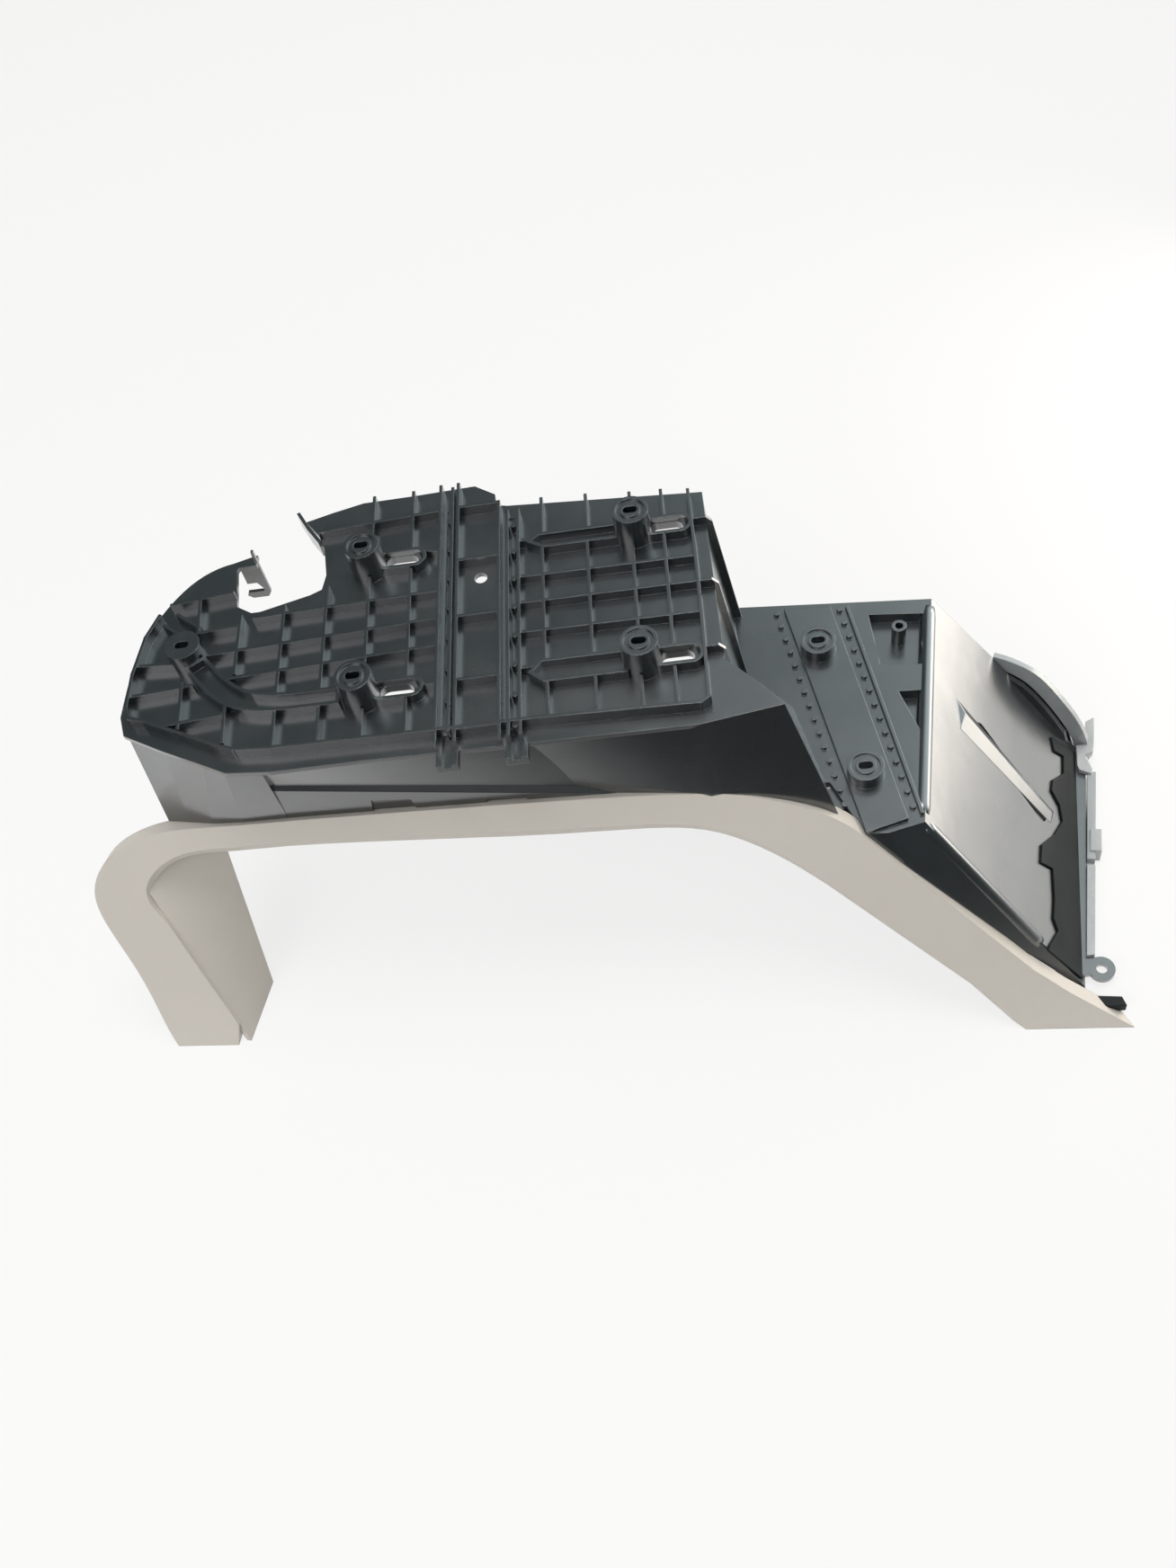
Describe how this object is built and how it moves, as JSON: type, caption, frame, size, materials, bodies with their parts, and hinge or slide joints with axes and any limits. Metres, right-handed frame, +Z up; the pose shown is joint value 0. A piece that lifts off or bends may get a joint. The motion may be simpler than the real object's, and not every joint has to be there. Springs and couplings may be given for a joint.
{
  "type": "moulded plastic housing",
  "caption": "Moulded plastic carrier housing with a ribbed mounting plate, lower deck and duct, framed by an arched front trim and an end rim.",
  "frame": {"origin": "on the ground, under the middle of the whole housing", "axes": "+Z up, away from the ground; +X to the right along the plate's length; +Y to the back, away from the arched trim"},
  "size_m": [0.5256, 0.246, 0.198],
  "materials": {
    "black_plastic": "satin black, fine mould grain",
    "light_plastic": "matte light warm grey, fine grain"
  },
  "bodies": {
    "root": {"carrier": "black_plastic", "trim": "light_plastic", "rim": "light_plastic"}
  },
  "joints": []
}
